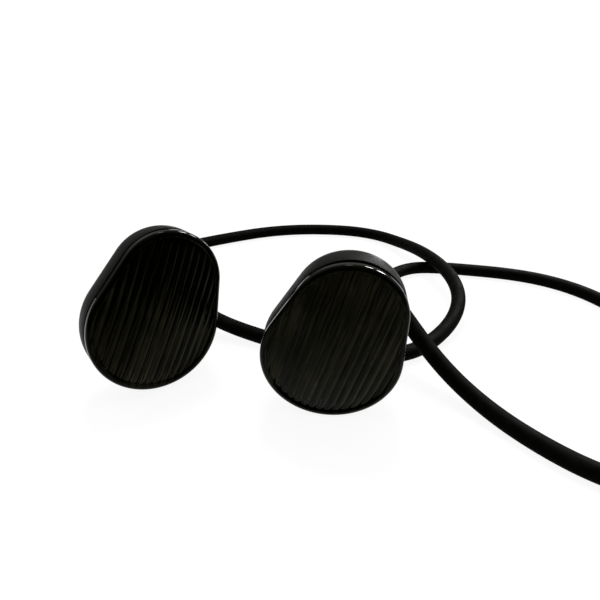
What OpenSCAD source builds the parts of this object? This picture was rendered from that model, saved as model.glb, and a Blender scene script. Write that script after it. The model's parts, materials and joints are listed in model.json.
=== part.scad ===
// A pair of hand castanets standing on their lower edges, each with its own cord.
// Every castanet has a rear shell, a front shell that claps against it, and one cord.
// The cord is fixed in the front shell, runs out through the rear shell's back and returns there.
// Shells are drawn flat: X across, Y towards the narrow end, Z towards the front, seam at Z = 0.

/* [Shell outline] */
// Width across the wide end
shell_w = 51; // [49:1:54]
// Distance between the centres of the wide and the narrow end
end_spacing = 18.5; // [17:0.5:20]
// Bevel along the seam edge of both shells
lip_bevel = 0.6; // [0.4:0.1:0.8]

/* [Front shell] */
// Depth of the straight side wall
front_wall = 2; // [1.8:0.1:2.6]
// Radius of the rim's outer rounding
rim_r = 1.8; // [1.6:0.1:2.2]
// Width of the rim's flat crest and inner bevel together
rim_crest = 0.8; // [0.7:0.1:1]
// Height of the reeded face's middle above the rim's top
face_rise = 1.4; // [1:0.1:1.8]
// Radius of the face's curve along the reeds
face_curve_long = 218; // [200:2:240]
// Radius of the face's curve across the reeds
face_curve_across = 144; // [130:2:160]
// Distance between reeds
reed_pitch = 3; // [2.6:0.1:3.4]
// Height of each reed
reed_h = 0.35; // [0.25:0.05:0.45]
// Depth of the sound hollow
front_bowl_h = 2.4; // [1.8:0.1:2.6]

/* [Rear shell] */
// Depth from the seam to the flat back
rear_depth = 16; // [15:0.5:18]
// Radius of the rounding from side wall to back
rear_edge_r = 9; // [8:0.5:10]
// Depth of the sound hollow
rear_bowl_h = 9; // [7:0.5:10]
// Width of both sound hollows at the seam
bowl_w = 36; // [32:1:37]

/* [Hinge] */
// Distance of the hinge line from the narrow end
hinge_in = 10; // [9:0.5:10.5]
// Radius of the rocking rib on the front shell
rib_r = 2.2; // [1.8:0.1:2.3]
// Length of the rocking rib
rib_len = 22; // [18:1:24]
// Widest opening of the shells in degrees
clap_max = 8; // [5:0.5:9]

/* [Cord] */
// Diameter of the cord
cord_d = 7; // [6:0.1:7.2]
// Distance between the two cord holes
cord_pitch = 18; // [16:0.5:19]
// Distance of the cord holes from the hinge line
cord_in = 7; // [6.8:0.1:7.2]
// Depth of the cord sockets in the front shell
socket_h = 2.4; // [1.8:0.1:2.6]
// Flare of the cord holes' mouths
mouth_flare = 1; // [0.6:0.1:1.2]

/* [Fits] */
// Gap between the closed shells
lip_gap = 0.3; // [0.2:0.05:0.5]
// Gap round the rocking rib
rib_gap = 0.3; // [0.2:0.05:0.4]
// Room round the cord in its holes and sockets
cord_fit = 0.05; // [0.05:0.01:0.15]

/* [Stance] */
// Turn of the left castanet about the vertical
left_yaw = 31; // [29:0.5:33]
// Sideways roll of the left castanet
left_roll = 28; // [26:0.5:30]
// Backward lean of the left castanet
left_lean = 9; // [7:0.5:11]
// Turn of the right castanet about the vertical
right_yaw = -5; // [-7:0.5:-3]
// Sideways roll of the right castanet
right_roll = 16; // [14:0.5:18]
// Backward lean of the right castanet
right_lean = 0; // [0:0.5:2]
// Sideways distance between the castanets
pair_spacing = 67.4; // [66:0.2:70]
// Distance by which the right castanet stands nearer
pair_stagger = 17; // [16:0.5:18]

/* [Hidden] */
$fn = 96;
face_fn = 480;
over = 1;

// Outline: a wide circle at the origin, a narrow one along Y, and the two lines that touch both.
// The sides lean 7 in 24, so that their angle's sine and cosine are short numbers.
side_angle = asin(7 / 25);
wide_r = shell_w / 2;
narrow_r = wide_r - end_spacing * 7 / 25;
side_len = end_spacing * 24 / 25;
shell_l = wide_r + end_spacing + narrow_r;

// Front shell
rim_top = front_wall + rim_r;
rim_w = rim_r + rim_crest;
rim_bevel = 0.6 * rim_crest;
face_top = rim_top + face_rise;
face_y = (shell_l - 2 * wide_r) / 2;
face_lap = 0.4;
core_lap = 1;
core_step = 12;
face_under = 5;
face_angle = 2 * asin(shell_l / 2 / (face_curve_long - face_under)) + 4;
reed_r = (reed_pitch * reed_pitch / 4 + reed_h * reed_h) / (2 * reed_h);
reed_side = ceil((wide_r - rim_w) / reed_pitch);
reed_span = reed_side * reed_pitch;
function reed_drop(i) = i * i * reed_pitch * reed_pitch / (2 * face_curve_across);
reed_under = reed_drop(reed_side) + 2 * reed_h;

// Sound hollows
bowl_r = bowl_w / 2;
front_bowl_r = (bowl_r * bowl_r + front_bowl_h * front_bowl_h) / (2 * front_bowl_h);
rear_bowl_r = (bowl_r * bowl_r + rear_bowl_h * rear_bowl_h) / (2 * rear_bowl_h);

// Hinge and cord
hinge_y = end_spacing + narrow_r - hinge_in;
cord_r = cord_d / 2;
cord_x = cord_pitch / 2;
cord_y = hinge_y - cord_in;
cord_hole_r = cord_r + cord_fit;
cord_sides = 10;
cord_start = 2 * lip_gap;
cord_out = 5;

// How far one castanet reaches from its wide centre in an upright direction n
function flat_len(n) = norm([n.x, n.z]);
function edge_reach(n) = max(wide_r * flat_len(n), end_spacing * n.z + narrow_r * flat_len(n));
function rear_reach(n) = edge_reach(n) + rear_edge_r * (1 - flat_len(n)) + (rear_depth - rear_edge_r) * n.y;
function front_reach(n) = edge_reach(n) + rim_r * (1 - flat_len(n)) - front_wall * n.y;
function face_slide(n) = [face_curve_across * n.x, face_curve_long * n.z] / max(-n.y, 0.1);
function face_point(n) = face_slide(n) * min(1, (narrow_r - rim_w) / max(norm(face_slide(n)), over));
function face_drop(p) = p.x * p.x / (2 * face_curve_across) + p.y * p.y / (2 * face_curve_long);
function face_reach(n) = let (p = face_point(n))
    p.x * n.x + (face_y + p.y) * n.z - (face_top - face_drop(p)) * n.y;
function reach(n) = max(edge_reach(n), rear_reach(n), front_reach(n), face_reach(n));

// A point or direction of the flat drawing, raised, leaned back, rolled and turned
function upright(p) = [p.x, -p.z, p.y];
function leaned(p, a) = [p.x, p.y * cos(a) + p.z * sin(a), p.z * cos(a) - p.y * sin(a)];
function rolled(p, a) = [p.x * cos(a) + p.z * sin(a), p.y, p.z * cos(a) - p.x * sin(a)];
function yawed(p, a) = [p.x * cos(a) - p.y * sin(a), p.x * sin(a) + p.y * cos(a), p.z];

// Each castanet's turn, roll and lean, and its reach in a direction of the row
left_pose = [left_yaw, left_roll, left_lean];
right_pose = [right_yaw, right_roll, right_lean];
function row_reach(n, pose) = reach(leaned(rolled(yawed(n, -pose[0]), -pose[1]), -pose[2]));

// The castanets' places on the floor, with the middle of both shells' bounds over the origin
left_lo_x = -row_reach([-1, 0, 0], left_pose);
right_hi_x = pair_spacing + row_reach([1, 0, 0], right_pose);
left_lo_y = -row_reach([0, -1, 0], left_pose);
left_hi_y = row_reach([0, 1, 0], left_pose);
right_lo_y = -pair_stagger - row_reach([0, -1, 0], right_pose);
right_hi_y = -pair_stagger + row_reach([0, 1, 0], right_pose);
mid_x = (left_lo_x + right_hi_x) / 2;
mid_y = (min(left_lo_y, right_lo_y) + max(left_hi_y, right_hi_y)) / 2;
left_at = [-mid_x, -mid_y, row_reach([0, 0, -1], left_pose)];
right_at = [pair_spacing - mid_x, -pair_stagger - mid_y, row_reach([0, 0, -1], right_pose)];
function stood(p, at, pose) = at + yawed(rolled(leaned(upright(p), pose[2]), pose[1]), pose[0]);

// The start of a cord: from inside the rear shell's hole at side s to just past its mouth
function cord_stub(s, at, pose) = [
    for (z = [-cord_start, -rear_depth, -rear_depth - cord_out])
        stood([s * cord_x, cord_y, z], at, pose)
];
function backwards(list) = [for (i = [len(list) - 1 : -1 : 0]) list[i]];

// Left cord between its two holes, as it lies: down behind the shell, under the right castanet's
// back, up over the other cord, round the far side and up behind the shell again
left_run = [
    [-36, 34.3, 36.2], [-38, 39.8, 29.5], [-37, 42, 21.8], [-31.5, 40.6, 13.7], [-23.1, 36.4, 9.2],
    [-13, 31, 6.5], [5, 24.6, 3.5], [23, 16.5, 3.5], [43, 11, 3.5], [61, 10, 3.5], [75, 14.5, 3.5],
    [87, 25, 3.5], [95.5, 34, 5], [102, 44, 8], [105.5, 56, 10.5], [105.5, 70, 12], [103.5, 85, 12],
    [100, 99, 11.3], [95, 116, 9], [89, 131.5, 6], [79, 147, 4], [63, 155.5, 3.5], [43, 158, 3.5],
    [21, 157, 3.5], [-1, 151.5, 3.5], [-21, 142, 3.5], [-39, 132, 3.5], [-55, 120, 3.5],
    [-66, 104, 3.5], [-69.5, 88, 4], [-68, 74, 7], [-63.8, 59.8, 15.5], [-58.8, 47.5, 26.5],
    [-53.1, 35, 38]
];
right_run = [
    [51.1, 6.5, 42.8], [53.2, 12.3, 39.2], [57.2, 16, 34.2], [61.8, 16.2, 29], [66.1, 13, 24.4],
    [71, 6.3, 19], [76.5, -1.3, 13.8], [83, -9.5, 9], [90, -18, 5.5], [98.5, -29, 3.5],
    [110, -43, 3.5], [121, -52.5, 3.5], [136, -58.5, 3.5], [153, -56, 3.5], [169, -46, 3.5],
    [182, -30, 3.5], [190, -10, 3.5], [194, 12, 3.5], [193.5, 34, 3.5], [188, 56, 3.5],
    [179, 72.5, 3.5], [165, 84.5, 3.5], [147, 92, 3.5], [125, 96.5, 3.5], [103, 99.5, 3.5],
    [90, 98.5, 3.5], [78, 90, 3.5], [67, 75, 3.5], [56, 57, 4], [47.5, 42, 9], [41.8, 31.5, 18.5],
    [38.1, 23.5, 31], [35.6, 15.3, 41.2], [33.5, 7.4, 47]
];
left_route = concat(
    cord_stub(1, left_at, left_pose),
    left_run,
    backwards(cord_stub(-1, left_at, left_pose))
);
right_route = concat(
    cord_stub(1, right_at, right_pose),
    right_run,
    backwards(cord_stub(-1, right_at, right_pose))
);

// A round tube along a list of points, its rings carried along without twist
function unit(v) = v / norm(v);
function heading(p, i) = unit(p[min(i + 1, len(p) - 1)] - p[max(i - 1, 0)]);
function square_to(n, t) = unit(n - (n * t) * t);
function sideways(t) = square_to(abs(t.z) < 0.9 ? [0, 0, 1] : [1, 0, 0], t);
function normals(p) = [
    for (i = 0, n = sideways(heading(p, 0)); i < len(p); i = i + 1, n = square_to(n, heading(p, i))) n
];
function ring(c, n, t, r) = [
    for (k = [0 : cord_sides - 1]) let (a = 360 * k / cord_sides) c + r * (n * cos(a) + cross(t, n) * sin(a))
];
function rings(p, r) = let (n = normals(p)) [
    for (i = [0 : len(p) - 1]) each ring(p[i], n[i], heading(p, i), r)
];
function corner(i, k) = i * cord_sides + (k % cord_sides);
function walls(count) = [
    for (i = [0 : count - 2]) for (k = [0 : cord_sides - 1])
        each [
            [corner(i, k), corner(i + 1, k), corner(i + 1, k + 1)],
            [corner(i, k), corner(i + 1, k + 1), corner(i, k + 1)]
        ]
];
function first_cap() = [for (k = [0 : cord_sides - 1]) k];
function last_cap(count) = [for (k = [cord_sides - 1 : -1 : 0]) (count - 1) * cord_sides + k];

module tube(route, r) {
    polyhedron(
        points = rings(route, r),
        faces = concat([first_cap()], walls(len(route)), [last_cap(len(route))])
    );
}

// A quarter disc outwards from the origin, upwards (1) or downwards (-1)
module quarter(r, side) {
    intersection() {
        circle(r);
        mirror([0, side < 0 ? 1 : 0]) square(r);
    }
}

// Section of the front shell's wall, with the rim that stands up as a bead round the reeded face
module front_section(r) {
    crest = r - rim_r;
    inner = r - rim_w;
    polygon([
        [inner, lip_gap], [r - lip_bevel, lip_gap], [r, lip_gap + lip_bevel], [r, front_wall],
        [crest, front_wall], [crest, rim_top], [inner + rim_bevel, rim_top], [inner, rim_top - rim_bevel]
    ]);
    translate([crest, front_wall]) quarter(rim_r, 1);
}

// Section of the rear shell's wall, with the broad rounding to its flat back
module rear_section(r) {
    crest = r - rear_edge_r;
    inner = crest - core_lap;
    rear_wall = rear_depth - rear_edge_r;
    polygon([
        [inner, 0], [r - lip_bevel, 0], [r, -lip_bevel], [r, -rear_wall],
        [crest, -rear_wall], [crest, -rear_depth], [inner, -rear_depth]
    ]);
    translate([crest, -rear_wall]) quarter(rear_edge_r, -1);
}

module wall_section(kind, r) {
    if (kind == "front") front_section(r);
    if (kind == "rear") rear_section(r);
}

// A shell's wall round one end, cut off where the straight flanks begin; up is 1 or -1
module end_wall(kind, r, up) {
    intersection() {
        rotate_extrude() wall_section(kind, r);
        translate([0, 0, -shell_l]) linear_extrude(2 * shell_l) polygon([
            [0, 0], [24, 7] * shell_l, [24, 24 * up] * shell_l,
            [-24, 24 * up] * shell_l, [-24, 7] * shell_l
        ]);
    }
}

// The straight flank between the two ends, on the right
module flank_wall(kind) {
    rotate([0, 0, side_angle]) translate([0, side_len, 0]) rotate([90, 0, 0])
        linear_extrude(side_len) wall_section(kind, wide_r);
}

module wall(kind) {
    end_wall(kind, wide_r, -1);
    translate([0, end_spacing, 0]) end_wall(kind, narrow_r, 1);
    flank_wall(kind);
    mirror([1, 0, 0]) flank_wall(kind);
}

// The flat middle of a shell inside its wall, its many-sided edge buried in the wall at a margin
module core(low, high, margin) {
    translate([0, 0, low]) linear_extrude(high - low) polygon(concat(
        [for (a = [180 - side_angle : core_step : 360 + side_angle])
            (wide_r - margin) * [cos(a), sin(a)]],
        [for (a = [side_angle : core_step : 180 - side_angle])
            [0, end_spacing] + (narrow_r - margin) * [cos(a), sin(a)]]
    ));
}

// Reeds side by side along a shallow curve, turned about a far axis so that they bow lengthwise
module reeded_face() {
    intersection() {
        translate([0, face_y, face_top - face_curve_long]) rotate([0, 0, 90]) rotate([90, 0, 0])
            rotate([0, 0, 90 - face_angle / 2])
                rotate_extrude(angle = face_angle, $fn = face_fn) reed_section();
        core(front_wall - face_lap, face_top + over, rim_w - face_lap);
    }
}

module reed_section() {
    translate([face_curve_long - face_under, -reed_span]) square([face_under - reed_under, 2 * reed_span]);
    for (i = [-reed_side : reed_side])
        translate([face_curve_long - reed_r - reed_drop(i), i * reed_pitch]) circle(reed_r);
}

module front_blank() {
    wall("front");
    core(lip_gap, front_wall, rim_w - core_lap);
    reeded_face();
    translate([-rib_len / 2, hinge_y, 0]) rotate([0, 90, 0]) cylinder(h = rib_len, r = rib_r);
}

module front_shell() {
    color("#2b2723") difference() {
        front_blank();
        translate([0, 0, lip_gap + front_bowl_h - front_bowl_r]) sphere(front_bowl_r);
        for (s = [-1, 1])
            translate([s * cord_x, cord_y, -over]) cylinder(h = over + lip_gap + socket_h, r = cord_hole_r);
    }
}

module rear_shell() {
    color("#55585a") difference() {
        union() {
            wall("rear");
            core(-rear_depth, 0, rear_edge_r + core_lap / 2);
        }
        translate([0, 0, rear_bowl_r - rear_bowl_h]) sphere(rear_bowl_r);
        translate([-rib_len / 2 - rib_gap, hinge_y, 0]) rotate([0, 90, 0])
            cylinder(h = rib_len + 2 * rib_gap, r = rib_r + rib_gap);
        translate([-shell_w, hinge_y, 0]) rotate([-clap_max, 0, 0]) cube([2 * shell_w, shell_l, shell_l]);
        for (s = [-1, 1]) translate([s * cord_x, cord_y, -rear_depth - over]) {
            cylinder(h = rear_depth + 2 * over, r = cord_hole_r);
            cylinder(h = mouth_flare + over, r1 = cord_hole_r + mouth_flare + over, r2 = cord_hole_r);
        }
    }
}

module cord_end(s) {
    color("#1b1b1b") translate([s * cord_x, cord_y, lip_gap]) cylinder(h = socket_h, r = cord_r);
}

module cord(route) {
    color("#1b1b1b") tube(route, cord_r);
}

module stand(at, pose) {
    translate(at) rotate([0, 0, pose[0]]) rotate([0, pose[1], 0]) rotate([90 - pose[2], 0, 0]) children();
}

module left() {
    stand(left_at, left_pose) children();
}

module right() {
    stand(right_at, right_pose) children();
}

left() rear_shell();  // left_rear_shell
left() front_shell();  // left_front_shell
cord(left_route);  // left_cord
left() cord_end(1);  // left_cord_end_a
left() cord_end(-1);  // left_cord_end_b
right() rear_shell();  // right_rear_shell
right() front_shell();  // right_front_shell
cord(right_route);  // right_cord
right() cord_end(1);  // right_cord_end_a
right() cord_end(-1);  // right_cord_end_b
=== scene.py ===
"""A pair of hand castanets standing on edge, their cords lying loose behind and beside them."""

import json
import math

import bpy
from mathutils import Matrix, Vector


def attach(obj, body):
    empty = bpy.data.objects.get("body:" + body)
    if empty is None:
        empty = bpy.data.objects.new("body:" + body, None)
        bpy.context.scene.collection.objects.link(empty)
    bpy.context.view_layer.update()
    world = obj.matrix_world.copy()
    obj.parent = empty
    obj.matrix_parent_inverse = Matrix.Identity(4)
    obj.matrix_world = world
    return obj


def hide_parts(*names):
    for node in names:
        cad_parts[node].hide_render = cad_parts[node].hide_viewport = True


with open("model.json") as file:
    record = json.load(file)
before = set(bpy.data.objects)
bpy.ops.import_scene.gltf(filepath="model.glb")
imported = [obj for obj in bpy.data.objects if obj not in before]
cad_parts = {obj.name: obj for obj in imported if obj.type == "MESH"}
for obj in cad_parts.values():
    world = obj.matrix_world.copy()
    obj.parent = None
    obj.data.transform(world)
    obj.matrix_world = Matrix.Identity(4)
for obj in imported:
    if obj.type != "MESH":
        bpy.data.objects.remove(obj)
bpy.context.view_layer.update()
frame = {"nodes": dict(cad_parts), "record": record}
nodes = frame["nodes"]
mounts = {mount["name"]: mount for mount in frame["record"]["mounts"]}
scene = bpy.context.scene
MM = 0.001
SIDES = ("left", "right")

# The shells in mm: a wide and a narrow round end, the straight flanks that touch both, and the depths
WIDE_R = 25.5
END_SPACING = 18.5
FLANK_SIN = 7 / 25
FLANK_TAN = 7 / 24
NARROW_R = WIDE_R - END_SPACING * FLANK_SIN
RIM_W = 2.6
REED_PITCH = 3.0
REAR_DEPTH = 16.0
REAR_EDGE_R = 9.0

# How each castanet stands: its turn, sideways roll and backward lean in degrees
STANCE = {"left": (31, 28, 9), "right": (-5, 16, 0)}

# The camera's place and nearest view in metres, and its lens in mm
CAMERA_AT = (0.0204, -0.1555, 0.1279)
CAMERA_NEAR = 0.005
CAMERA_LENS = 28.27

# The camera's turn, downward look and roll in degrees
CAMERA_TURN = -0.86
CAMERA_DOWN = 30.18
CAMERA_ROLL = 1.15

# The cord in mm: its thickness, where its holes are, its start behind the seam and its run past the back
CORD_D = 7.0
CORD_X = 9.0
HINGE_IN = 10.0
CORD_IN = 7.0
CORD_Y = END_SPACING + NARROW_R - HINGE_IN - CORD_IN
CORD_START = 0.6
CORD_OUT = 5.0

# The cord's tube: its sides, mm between points, points kept at each end, and passes that even its bends
CORD_SIDES = 32
CORD_STEP = 2.0
CORD_HELD = 11
CORD_PASSES = 24

# Each cord between its two holes in mm: out behind the shell, round over the floor and up again
CORD_RUN = {
    "left": [
        (-36, 34.3, 36.2), (-38, 39.8, 29.5), (-37, 42, 21.8), (-31.5, 40.6, 13.7), (-23.1, 36.4, 9.2),
        (-13, 31, 6.5), (5, 24.6, 3.5), (23, 16.5, 3.5), (43, 11, 3.5), (61, 10, 3.5), (75, 14.5, 3.5),
        (87, 25, 3.5), (95.5, 34, 5), (102, 44, 8), (105.5, 56, 10.5), (105.5, 70, 12),
        (103.5, 85, 12), (100, 99, 11.3), (95, 116, 9), (89, 131.5, 6), (79, 147, 4), (63, 155.5, 3.5),
        (43, 158, 3.5), (21, 157, 3.5), (-1, 151.5, 3.5), (-21, 142, 3.5), (-39, 132, 3.5),
        (-55, 120, 3.5), (-66, 104, 3.5), (-69.5, 88, 4), (-68, 74, 7), (-63.8, 59.8, 15.5),
        (-58.8, 47.5, 26.5), (-53.1, 35, 38),
    ],
    "right": [
        (51.1, 6.5, 42.8), (53.2, 12.3, 39.2), (57.2, 16, 34.2), (61.8, 16.2, 29), (66.1, 13, 24.4),
        (71, 6.3, 19), (76.5, -1.3, 13.8), (83, -9.5, 9), (90, -18, 5.5), (98.5, -29, 3.5),
        (110, -43, 3.5), (121, -52.5, 3.5), (136, -58.5, 3.5), (153, -56, 3.5), (169, -46, 3.5),
        (182, -30, 3.5), (190, -10, 3.5), (194, 12, 3.5), (193.5, 34, 3.5), (188, 56, 3.5),
        (179, 72.5, 3.5), (165, 84.5, 3.5), (147, 92, 3.5), (125, 96.5, 3.5), (103, 99.5, 3.5),
        (90, 98.5, 3.5), (78, 90, 3.5), (67, 75, 3.5), (56, 57, 4), (47.5, 42, 9), (41.8, 31.5, 18.5),
        (38.1, 23.5, 31), (35.6, 15.3, 41.2), (33.5, 7.4, 47),
    ],
}

# Each castanet's number for the noise in its front shell, so that no two look alike
SEEDS = {"left": 7, "right": 31}

# The soft light above: the direction that it comes from, how wide it looks in degrees, and its strength
SOFTBOX_FROM = (0, 0.43, 0.9)
SOFTBOX_ANGLE = 10
SOFTBOX_POWER = 0.7

# The lamps for glints: each one's place in metres and its power in watts, and the width and aim of all
GLINT_LAMPS = {
    "rear_glint_lamp": ((0.40, 0.48, 0.64), 10),
    "right_glint_lamp": ((0.62, 0.52, 0.53), 9),
    "low_glint_lamp": ((0.45, 0.93, 0.12), 0.7),
}
GLINT_W = 0.15
GLINT_AIM = (0, 0, 0.03)

# The sockets of a Mix node that mixes colours; it has others by the same names
MIX_FACTOR = 0
MIX_A = 6
MIX_B = 7
MIX_RESULT = 2


def linear(code):
    """A colour given as an sRGB hex code, as linear RGBA."""
    parts = [int(code[i : i + 2], 16) / 255 for i in (1, 3, 5)]
    return [c / 12.92 if c <= 0.04045 else ((c + 0.055) / 1.055) ** 2.4 for c in parts] + [1.0]


def add(tree, kind, inputs=None, **settings):
    """Adds a node with its settings and returns its outputs; an input is a socket to link or a value."""
    made = tree.nodes.new(kind)
    for name, value in settings.items():
        setattr(made, name, value)
    for name, value in (inputs or {}).items():
        if isinstance(value, bpy.types.NodeSocket):
            tree.links.new(value, made.inputs[name])
        else:
            made.inputs[name].default_value = value
    return made.outputs


def link_object(name, data):
    made = bpy.data.objects.new(name, data)
    scene.collection.objects.link(made)
    return made


def stance_matrix(side):
    """From a castanet's flat drawing in mm (X across, Y to the narrow end, Z forward) to its place."""
    back = mounts[side + "_back"]
    seam = Vector(back["pos_m"]) - Vector(back["axis"]) * REAR_DEPTH * MM
    yaw, roll, lean = (math.radians(angle) for angle in STANCE[side])
    turn = Matrix.Rotation(yaw, 4, "Z") @ Matrix.Rotation(roll, 4, "Y")
    rise = Matrix.Rotation(math.radians(90) - lean, 4, "X")
    return Matrix.Translation(seam) @ turn @ rise @ Matrix.Scale(MM, 4)


def make_camera():
    data = bpy.data.cameras.new("camera")
    data.lens = CAMERA_LENS
    data.clip_start = CAMERA_NEAR
    camera = link_object("camera", data)
    turn = Matrix.Rotation(math.radians(CAMERA_TURN), 4, "Z")
    look_down = Matrix.Rotation(math.radians(90 - CAMERA_DOWN), 4, "X")
    roll = Matrix.Rotation(math.radians(CAMERA_ROLL), 4, "Z")
    camera.location = CAMERA_AT
    camera.rotation_euler = (turn @ look_down @ roll).to_euler()
    scene.camera = camera


def cord_route(side):
    """A cord's points: straight out of one hole, along its run, and straight into the other."""
    place = stance_matrix(side)
    depths = (-CORD_START, -REAR_DEPTH, -REAR_DEPTH - CORD_OUT)
    out = [place @ Vector((CORD_X, CORD_Y, z)) for z in depths]
    back = [place @ Vector((-CORD_X, CORD_Y, z)) for z in reversed(depths)]
    return out + [Vector(p) * MM for p in CORD_RUN[side]] + back


def smooth(points, step):
    """A smooth line through the points, with a point about every step."""
    ends = [2 * points[0] - points[1], *points, 2 * points[-1] - points[-2]]
    line = []
    for a, b, c, d in zip(ends, ends[1:], ends[2:], ends[3:]):
        ta = (b - a).length ** 0.5
        tb = (c - b).length ** 0.5
        tc = (d - c).length ** 0.5
        lead = ((b - a) / ta - (c - a) / (ta + tb) + (c - b) / tb) * tb
        trail = ((c - b) / tb - (d - b) / (tb + tc) + (d - c) / tc) * tb
        count = max(1, round((c - b).length / step))
        for i in range(count):
            t = i / count
            line.append(
                b * (2 * t**3 - 3 * t**2 + 1) + lead * (t**3 - 2 * t**2 + t)
                + c * (3 * t**2 - 2 * t**3) + trail * (t**3 - t**2)
            )
    return [*line, points[-1]]


def eased(line, held, passes):
    """The line with its bends evened out, as a limp cord's are, and its held points at each end kept."""
    for _ in range(passes):
        middle = [
            (line[i - 1] + 2 * line[i] + line[i + 1]) / 4 for i in range(held, len(line) - held)
        ]
        line = line[:held] + middle + line[-held:]
    return line


def tube_tree():
    """Geometry Nodes: a round tube along a curve, closed at its ends."""
    tree = bpy.data.node_groups.new("cord_tube", "GeometryNodeTree")
    given_kinds = {"Path": "Geometry", "Radius": "Float", "Sides": "Int", "Material": "Material"}
    for name, kind in given_kinds.items():
        tree.interface.new_socket(name, in_out="INPUT", socket_type="NodeSocket" + kind)
    tree.interface.new_socket("Tube", in_out="OUTPUT", socket_type="NodeSocketGeometry")
    given = add(tree, "NodeGroupInput")
    ring = add(
        tree, "GeometryNodeCurvePrimitiveCircle",
        {"Resolution": given["Sides"], "Radius": given["Radius"]},
    )
    sweep = add(
        tree, "GeometryNodeCurveToMesh",
        {"Curve": given["Path"], "Profile Curve": ring["Curve"], "Fill Caps": True},
    )
    whole = add(tree, "GeometryNodeRealizeInstances", {"Geometry": sweep["Mesh"]})
    dressed = add(
        tree, "GeometryNodeSetMaterial",
        {"Geometry": whole["Geometry"], "Material": given["Material"]},
    )
    add(tree, "NodeGroupOutput", {"Tube": dressed["Geometry"]})
    return tree


def swept(name, line, radius, material, tree):
    """The tube as a plain mesh, smooth-shaded."""
    curve = bpy.data.curves.new(name + "_path", "CURVE")
    curve.dimensions = "3D"
    spline = curve.splines.new("POLY")
    spline.points.add(len(line) - 1)
    for point, at in zip(spline.points, line):
        point.co = (*at, 1)
    path = link_object(name + "_path", curve)
    modifier = path.modifiers.new("tube", "NODES")
    modifier.node_group = tree
    values = {"Radius": radius, "Sides": CORD_SIDES, "Material": material}
    for item in tree.interface.items_tree:
        if item.in_out == "INPUT" and item.name in values:
            modifier[item.identifier] = values[item.name]
    bpy.context.view_layer.update()
    shaped = path.evaluated_get(bpy.context.evaluated_depsgraph_get())
    mesh = bpy.data.meshes.new_from_object(shaped)
    bpy.data.objects.remove(path)
    mesh.shade_smooth()
    return link_object(name, mesh)


def new_material(name):
    made = bpy.data.materials.new(name)
    made.use_nodes = True
    made.node_tree.nodes.clear()
    return made, made.node_tree


def dress(node, material):
    nodes[node].data.materials.clear()
    nodes[node].data.materials.append(material)


def flat_frame(tree, side):
    """Places on a shell in mm, as in its flat drawing: X across, Y along the reeds, Z to the front."""
    stance = stance_matrix(side)
    place = add(
        tree, "ShaderNodeMapping",
        {
            "Vector": add(tree, "ShaderNodeTexCoord")["Object"], "Location": stance.to_translation(),
            "Rotation": stance.to_euler("XYZ"), "Scale": (MM, MM, MM),
        },
        vector_type="TEXTURE",
    )
    return place["Vector"]


def inset(tree, at):
    """How far inside the shells' outline a place is, in mm, square to the nearest edge."""
    across = add(tree, "ShaderNodeMath", {0: at["X"]}, operation="ABSOLUTE")["Value"]
    level = add(
        tree, "ShaderNodeMath", {0: across, 1: -FLANK_TAN, 2: at["Y"]}, operation="MULTIPLY_ADD"
    )["Value"]
    share = add(
        tree, "ShaderNodeMath", {0: level, 1: END_SPACING}, operation="DIVIDE", use_clamp=True
    )["Value"]
    centre_y = add(tree, "ShaderNodeMath", {0: share, 1: END_SPACING}, operation="MULTIPLY")["Value"]
    centre = add(tree, "ShaderNodeCombineXYZ", {"Y": centre_y})["Vector"]
    flat = add(tree, "ShaderNodeCombineXYZ", {"X": at["X"], "Y": at["Y"]})["Vector"]
    away = add(tree, "ShaderNodeVectorMath", {0: flat, 1: centre}, operation="DISTANCE")["Value"]
    radius = add(
        tree, "ShaderNodeMath", {0: share, 1: NARROW_R - WIDE_R, 2: WIDE_R}, operation="MULTIPLY_ADD"
    )["Value"]
    return add(tree, "ShaderNodeMath", {0: radius, 1: away}, operation="SUBTRACT")["Value"]


def cord_rubber():
    """Black moulded rubber: dull, soft to the eye, a little greyer where dust lies, with a fine skin."""
    dust_mm = 4.0
    skin_mm = 0.4
    skin_deep_mm = 0.15
    made, tree = new_material("cord_black_rubber")
    place = add(tree, "ShaderNodeTexCoord")["Object"]
    dust = add(
        tree, "ShaderNodeTexNoise", {"Vector": place, "Scale": 1 / (dust_mm * MM), "Detail": 4.0}
    )["Fac"]
    skin = add(
        tree, "ShaderNodeTexNoise", {"Vector": place, "Scale": 1 / (skin_mm * MM), "Detail": 2.0}
    )["Fac"]
    dusty = add(
        tree, "ShaderNodeMapRange", {"Value": dust, "From Min": 0.35, "From Max": 0.7},
        interpolation_type="SMOOTHSTEP",
    )["Result"]
    colour = add(
        tree, "ShaderNodeMix",
        {MIX_FACTOR: dusty, MIX_A: linear("#070705"), MIX_B: linear("#11110c")}, data_type="RGBA",
    )[MIX_RESULT]
    rough = add(tree, "ShaderNodeMapRange", {"Value": dusty, "To Min": 0.58, "To Max": 0.72})["Result"]
    normal = add(
        tree, "ShaderNodeBump", {"Height": skin, "Strength": 0.2, "Distance": skin_deep_mm * MM}
    )["Normal"]
    surface = add(
        tree, "ShaderNodeBsdfPrincipled",
        {"Base Color": colour, "Roughness": rough, "Specular IOR Level": 0.014, "Normal": normal},
    )
    add(tree, "ShaderNodeOutputMaterial", {"Surface": surface["BSDF"]})
    return made


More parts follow.
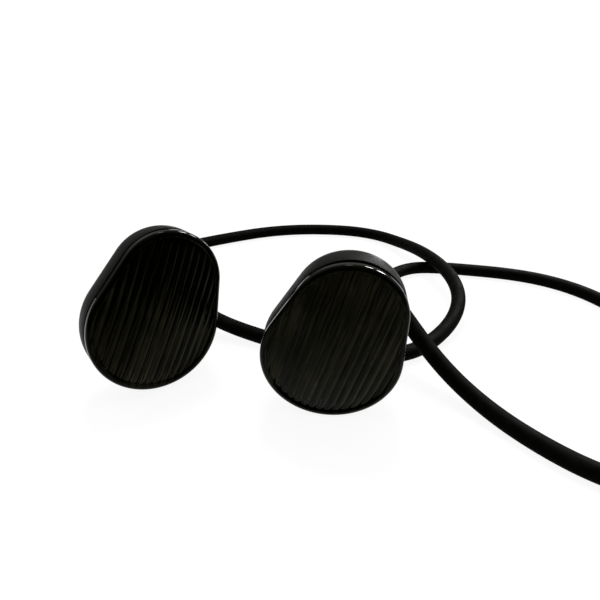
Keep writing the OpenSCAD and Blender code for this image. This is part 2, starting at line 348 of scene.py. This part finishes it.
def polished_laminate(side):
    """Lacquered dark laminate, almost black and glossy. Each reed is a touch lighter than the thin broken
    line beside it and carries fine long streaks. The rim's outer half is plain. The reeds' lower ends
    carry
    painted highlights: pale hairline strokes standing for light caught on the reed ends."""
    seed = SEEDS[side]

    # Pattern sizes in mm, across the reeds, along them and into the shell
    streak_mm = (0.6, 25, 3)
    hair_mm = (0.2, 10, 1)
    break_mm = (2.5, 20, 3)
    smudge_mm = 14
    hair_deep_mm = 0.02

    # Limits in mm: of the stripes inward from the outline, of the face above the seam, and of the painted
    # highlights at the reeds' lower ends
    stripes_in_mm = (0.7, 1.5)
    face_z_mm = 2.4
    highlight_y_mm = (-19.0, -8.0)
    highlight_in_mm = (RIM_W + 0.5, 9.0)
    highlight_clear_mm = (RIM_W + 0.2, RIM_W + 0.8)

    # The line between two reeds, as shares of the pitch from the crest, and how much duller it is
    line_share = (0.36, 0.49)
    line_dull = 0.15

    # What each of the three makes up of the grain
    streak_part = 0.5
    hair_part = 0.42
    tone_part = 0.08

    made, tree = new_material(side + "_polished_dark_laminate")
    place = flat_frame(tree, side)
    at = add(tree, "ShaderNodeSeparateXYZ", {"Vector": place})
    depth = inset(tree, at)

    # Where the stripes are: on the face and over the rim's inner half, in front of the side wall
    inside = add(
        tree, "ShaderNodeMapRange",
        {"Value": depth, "From Min": stripes_in_mm[0], "From Max": stripes_in_mm[1]},
        interpolation_type="SMOOTHSTEP",
    )["Result"]
    front = add(tree, "ShaderNodeMath", {0: at["Z"], 1: face_z_mm}, operation="GREATER_THAN")["Value"]
    face = add(tree, "ShaderNodeMath", {0: inside, 1: front}, operation="MULTIPLY")["Value"]

    # Streaks along the reeds, a tone of its own for each reed, and smudges that cloud both
    streak_at = add(
        tree, "ShaderNodeMapping", {"Vector": place, "Scale": [1 / s for s in streak_mm]}
    )["Vector"]
    streak = add(
        tree, "ShaderNodeTexNoise",
        {"Vector": streak_at, "W": seed, "Scale": 1.0, "Detail": 5.0, "Roughness": 0.62},
        noise_dimensions="4D",
    )["Fac"]
    hair_at = add(
        tree, "ShaderNodeMapping", {"Vector": place, "Scale": [1 / s for s in hair_mm]}
    )["Vector"]
    hair = add(
        tree, "ShaderNodeTexNoise", {"Vector": hair_at, "W": seed, "Scale": 1.0, "Detail": 2.0},
        noise_dimensions="4D",
    )["Fac"]
    reed = add(
        tree, "ShaderNodeMath", {0: at["X"], 1: 1 / REED_PITCH, 2: 0.5}, operation="MULTIPLY_ADD"
    )["Value"]
    number = add(tree, "ShaderNodeMath", {0: reed}, operation="FLOOR")["Value"]
    own = add(tree, "ShaderNodeMath", {0: number, 1: seed}, operation="ADD")["Value"]
    tone = add(tree, "ShaderNodeTexWhiteNoise", {"W": own}, noise_dimensions="1D")["Value"]
    grain = add(tree, "ShaderNodeMath", {0: streak, 1: streak_part}, operation="MULTIPLY")["Value"]
    grain = add(
        tree, "ShaderNodeMath", {0: hair, 1: hair_part, 2: grain}, operation="MULTIPLY_ADD"
    )["Value"]
    grain = add(
        tree, "ShaderNodeMath", {0: tone, 1: tone_part, 2: grain}, operation="MULTIPLY_ADD"
    )["Value"]
    fine = add(
        tree, "ShaderNodeMapRange", {"Value": grain, "From Min": 0.4, "From Max": 0.6},
        interpolation_type="SMOOTHSTEP",
    )["Result"]
    smudge = add(
        tree, "ShaderNodeTexNoise",
        {"Vector": place, "W": seed, "Scale": 1 / smudge_mm, "Detail": 3.0},
        noise_dimensions="4D",
    )["Fac"]
    clouded = add(
        tree, "ShaderNodeMapRange",
        {"Value": smudge, "From Min": 0.38, "From Max": 0.62, "To Min": 0.45},
        interpolation_type="SMOOTHSTEP",
    )["Result"]
    light = add(tree, "ShaderNodeMath", {0: fine, 1: clouded}, operation="MULTIPLY")["Value"]

    # The thin dark line in the valley between two reeds, broken along its length
    across = add(tree, "ShaderNodeMath", {0: reed}, operation="FRACT")["Value"]
    from_crest = add(tree, "ShaderNodeMath", {0: across, 1: 0.5}, operation="SUBTRACT")["Value"]
    from_crest = add(tree, "ShaderNodeMath", {0: from_crest}, operation="ABSOLUTE")["Value"]
    valley = add(
        tree, "ShaderNodeMapRange",
        {"Value": from_crest, "From Min": line_share[0], "From Max": line_share[1]},
        interpolation_type="SMOOTHSTEP",
    )["Result"]
    break_at = add(
        tree, "ShaderNodeMapping", {"Vector": place, "Scale": [1 / s for s in break_mm]}
    )["Vector"]
    broken = add(
        tree, "ShaderNodeTexNoise", {"Vector": break_at, "W": seed, "Scale": 1.0, "Detail": 2.0},
        noise_dimensions="4D",
    )["Fac"]
    kept = add(
        tree, "ShaderNodeMapRange",
        {"Value": broken, "From Min": 0.35, "From Max": 0.62, "To Min": 0.3},
        interpolation_type="SMOOTHSTEP",
    )["Result"]
    line = add(tree, "ShaderNodeMath", {0: valley, 1: kept}, operation="MULTIPLY")["Value"]
    line = add(tree, "ShaderNodeMath", {0: line, 1: face}, operation="MULTIPLY")["Value"]

    # Painted highlights: pale hairline strokes in the colour where the reeds end at the wide end's rim,
    # standing for light caught on the reed ends
    low = add(
        tree, "ShaderNodeMapRange",
        {
            "Value": at["Y"], "From Min": highlight_y_mm[0], "From Max": highlight_y_mm[1],
            "To Min": 1.0, "To Max": 0.0,
        },
        interpolation_type="SMOOTHSTEP",
    )["Result"]
    edge = add(
        tree, "ShaderNodeMapRange",
        {
            "Value": depth, "From Min": highlight_in_mm[0], "From Max": highlight_in_mm[1],
            "To Min": 1.0, "To Max": 0.0,
        },
        interpolation_type="SMOOTHSTEP",
    )["Result"]
    clear = add(
        tree, "ShaderNodeMapRange",
        {"Value": depth, "From Min": highlight_clear_mm[0], "From Max": highlight_clear_mm[1]},
        interpolation_type="SMOOTHSTEP",
    )["Result"]
    highlight_hairs = add(
        tree, "ShaderNodeMapRange", {"Value": hair, "From Min": 0.5, "From Max": 0.66},
        interpolation_type="SMOOTHSTEP",
    )["Result"]
    wear_and_highlight = add(tree, "ShaderNodeMath", {0: low, 1: edge}, operation="MULTIPLY")["Value"]
    wear_and_highlight = add(tree, "ShaderNodeMath", {0: wear_and_highlight, 1: highlight_hairs}, operation="MULTIPLY")["Value"]
    wear_and_highlight = add(tree, "ShaderNodeMath", {0: wear_and_highlight, 1: clear}, operation="MULTIPLY")["Value"]
    wear_and_highlight = add(tree, "ShaderNodeMath", {0: wear_and_highlight, 1: face}, operation="MULTIPLY")["Value"]

    # The stripes' own colour with the painted highlights of the reed ends laid over it, and the tint of
    # what the lacquer reflects
    stripes = add(
        tree, "ShaderNodeMix",
        {MIX_FACTOR: light, MIX_A: linear("#050402"), MIX_B: linear("#110f08")}, data_type="RGBA",
    )[MIX_RESULT]
    # The pale colour mixed in here is painted highlight, strokes of light at the reed ends
    body = add(
        tree, "ShaderNodeMix",
        {MIX_FACTOR: wear_and_highlight, MIX_A: stripes, MIX_B: linear("#8f886c")}, data_type="RGBA",
    )[MIX_RESULT]
    colour = add(
        tree, "ShaderNodeMix",
        {MIX_FACTOR: line, MIX_A: body, MIX_B: linear("#010100")}, data_type="RGBA",
    )[MIX_RESULT]
    sheen = add(
        tree, "ShaderNodeMix",
        {MIX_FACTOR: light, MIX_A: linear("#55533a"), MIX_B: linear("#fffab8")}, data_type="RGBA",
    )[MIX_RESULT]
    gloss = add(
        tree, "ShaderNodeMix",
        {MIX_FACTOR: face, MIX_A: linear("#5a5743"), MIX_B: sheen}, data_type="RGBA",
    )[MIX_RESULT]
    tint = add(
        tree, "ShaderNodeMix",
        {MIX_FACTOR: line, MIX_A: gloss, MIX_B: linear("#26251e")}, data_type="RGBA",
    )[MIX_RESULT]
    polish = add(
        tree, "ShaderNodeMapRange",
        {"Value": smudge, "From Min": 0.3, "From Max": 0.7, "To Min": 0.06, "To Max": 0.13},
        interpolation_type="SMOOTHSTEP",
    )["Result"]
    rough = add(
        tree, "ShaderNodeMath", {0: line, 1: line_dull, 2: polish}, operation="MULTIPLY_ADD"
    )["Value"]
    normal = add(
        tree, "ShaderNodeBump", {"Height": hair, "Strength": 0.12, "Distance": hair_deep_mm * MM}
    )["Normal"]
    surface = add(
        tree, "ShaderNodeBsdfPrincipled",
        {
            "Base Color": colour, "Roughness": rough, "Specular IOR Level": 0.115,
            "Specular Tint": tint, "Normal": normal,
        },
    )
    add(tree, "ShaderNodeOutputMaterial", {"Surface": surface["BSDF"]})
    return made


def charcoal_satin(side):
    """Moulded charcoal ABS, satin: fine grain, cloudy wear, and a duller band by the seam whose colour
    darkens towards the seam as painted shade.
    """
    cloud_mm = 8
    grain_mm = 0.2
    grain_deep_mm = 0.06
    lip_dull = 0.25
    made, tree = new_material(side + "_charcoal_satin_abs")
    place = flat_frame(tree, side)
    at = add(tree, "ShaderNodeSeparateXYZ", {"Vector": place})
    cloud = add(
        tree, "ShaderNodeTexNoise", {"Vector": place, "Scale": 1 / cloud_mm, "Detail": 4.0}
    )["Fac"]
    grain = add(
        tree, "ShaderNodeTexNoise", {"Vector": place, "Scale": 1 / grain_mm, "Detail": 2.0}
    )["Fac"]
    wear_and_highlight = add(
        tree, "ShaderNodeMapRange", {"Value": cloud, "From Min": 0.35, "From Max": 0.68},
        interpolation_type="SMOOTHSTEP",
    )["Result"]
    plain = add(
        tree, "ShaderNodeMix",
        {MIX_FACTOR: wear_and_highlight, MIX_A: linear("#191a15"), MIX_B: linear("#21221b")}, data_type="RGBA",
    )[MIX_RESULT]
    # Painted shade: the colour darkens towards the seam between the shells; the same band is also made
    # duller
    seam_shade_band = add(
        tree, "ShaderNodeMapRange",
        {"Value": at["Z"], "From Min": REAR_EDGE_R - REAR_DEPTH, "From Max": 0.0},
        interpolation_type="SMOOTHSTEP",
    )["Result"]
    colour = add(
        tree, "ShaderNodeMix",
        {MIX_FACTOR: seam_shade_band, MIX_A: plain, MIX_B: linear("#080806")}, data_type="RGBA",
    )[MIX_RESULT]
    satin = add(tree, "ShaderNodeMapRange", {"Value": wear_and_highlight, "To Min": 0.34, "To Max": 0.42})["Result"]
    rough = add(
        tree, "ShaderNodeMath", {0: seam_shade_band, 1: lip_dull, 2: satin}, operation="MULTIPLY_ADD"
    )["Value"]
    normal = add(
        tree, "ShaderNodeBump", {"Height": grain, "Strength": 0.15, "Distance": grain_deep_mm * MM}
    )["Normal"]
    surface = add(
        tree, "ShaderNodeBsdfPrincipled",
        {"Base Color": colour, "Roughness": rough, "Specular IOR Level": 0.03, "Normal": normal},
    )
    add(tree, "ShaderNodeOutputMaterial", {"Surface": surface["BSDF"]})
    return made


def make_cords():
    """Each cord as one smooth tube in place of its many-sided solid; its two ends get the same rubber."""
    tree = tube_tree()
    rubber = cord_rubber()
    for side in SIDES:
        line = eased(smooth(cord_route(side), CORD_STEP * MM), CORD_HELD, CORD_PASSES)
        tube = swept(side + "_cord_tube", line, CORD_D / 2 * MM, rubber, tree)
        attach(tube, "rear")
        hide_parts(side + "_cord")
        for end in ("a", "b"):
            dress(f"{side}_cord_end_{end}", rubber)


def make_floor():
    """A white light table that throws no light up on to dull surfaces. In reflections it has a dim patch
    at the right front, which the camera doesn't see."""
    half = 6.0
    patch_x = (0.08, 0.2)
    patch_y = (-0.08, -0.18)
    glow_full = 0.91
    patch_loss = 0.85
    made, tree = new_material("studio_white")
    at = add(tree, "ShaderNodeSeparateXYZ", {"Vector": add(tree, "ShaderNodeTexCoord")["Object"]})
    right = add(
        tree, "ShaderNodeMapRange",
        {"Value": at["X"], "From Min": patch_x[0], "From Max": patch_x[1]},
        interpolation_type="SMOOTHSTEP",
    )["Result"]
    near = add(
        tree, "ShaderNodeMapRange",
        {"Value": at["Y"], "From Min": patch_y[0], "From Max": patch_y[1]},
        interpolation_type="SMOOTHSTEP",
    )["Result"]
    patch = add(tree, "ShaderNodeMath", {0: right, 1: near}, operation="MULTIPLY")["Value"]
    unseen = add(
        tree, "ShaderNodeMath", {0: 1.0, 1: add(tree, "ShaderNodeLightPath")["Is Camera Ray"]},
        operation="SUBTRACT",
    )["Value"]
    dim = add(tree, "ShaderNodeMath", {0: patch, 1: unseen}, operation="MULTIPLY")["Value"]
    glow = add(
        tree, "ShaderNodeMath", {0: dim, 1: -patch_loss, 2: glow_full}, operation="MULTIPLY_ADD"
    )["Value"]
    surface = add(
        tree, "ShaderNodeBsdfPrincipled",
        {
            "Base Color": linear("#6e6e6e"), "Roughness": 0.9, "Specular IOR Level": 0.0,
            "Emission Color": linear("#ffffff"), "Emission Strength": glow,
        },
    )
    add(tree, "ShaderNodeOutputMaterial", {"Surface": surface["BSDF"]})
    mesh = bpy.data.meshes.new("floor")
    corners = [(-half, -half, 0), (half, -half, 0), (half, half, 0), (-half, half, 0)]
    mesh.from_pydata(corners, [], [(0, 1, 2, 3)])
    floor = link_object("floor", mesh)
    floor.data.materials.append(made)
    floor.visible_diffuse = False


def make_room():
    """A room that is bright behind and above and dim on the camera's side, with a white backdrop."""
    world = bpy.data.worlds.new("studio")
    scene.world = world
    world.use_nodes = True
    tree = world.node_tree
    tree.nodes.clear()
    toward = add(tree, "ShaderNodeSeparateXYZ", {"Vector": add(tree, "ShaderNodeTexCoord")["Generated"]})
    behind = add(
        tree, "ShaderNodeMapRange",
        {"Value": toward["Y"], "From Min": -0.55, "From Max": 0.0, "To Min": 0.03},
        interpolation_type="SMOOTHSTEP",
    )["Result"]
    above = add(
        tree, "ShaderNodeMapRange",
        {"Value": toward["Z"], "From Min": 0.0, "From Max": 0.5, "To Min": 0.05},
        interpolation_type="SMOOTHSTEP",
    )["Result"]
    level = add(tree, "ShaderNodeMath", {0: behind, 1: above}, operation="MULTIPLY")["Value"]
    seen = add(tree, "ShaderNodeLightPath")["Is Camera Ray"]
    strength = add(tree, "ShaderNodeMath", {0: level, 1: seen}, operation="ADD")["Value"]
    light = add(tree, "ShaderNodeBackground", {"Color": linear("#ffffff"), "Strength": strength})
    add(tree, "ShaderNodeOutputWorld", {"Surface": light["Background"]})
    scene.view_settings.view_transform = "Standard"


def make_softbox():
    """Even light from above and a little behind, as wide as a softbox looks from the set."""
    data = bpy.data.lights.new("top_softbox", "SUN")
    data.angle = math.radians(SOFTBOX_ANGLE)
    data.energy = SOFTBOX_POWER
    light = link_object("top_softbox", data)
    light.rotation_euler = Vector(SOFTBOX_FROM).to_track_quat("Z", "Y").to_euler()


def make_glint_lamps():
    """Round lamps aimed at the castanets, whose light shows only as glints."""
    for name, (at, power) in GLINT_LAMPS.items():
        data = bpy.data.lights.new(name, "AREA")
        data.shape = "DISK"
        data.size = GLINT_W
        data.energy = power
        light = link_object(name, data)
        light.visible_diffuse = False
        light.visible_camera = False
        light.location = at
        away = Vector(at) - Vector(GLINT_AIM)
        light.rotation_euler = away.to_track_quat("Z", "Y").to_euler()


make_camera()
make_cords()
for side in SIDES:
    dress(side + "_front_shell", polished_laminate(side))
    dress(side + "_rear_shell", charcoal_satin(side))
make_floor()
make_room()
make_softbox()
make_glint_lamps()
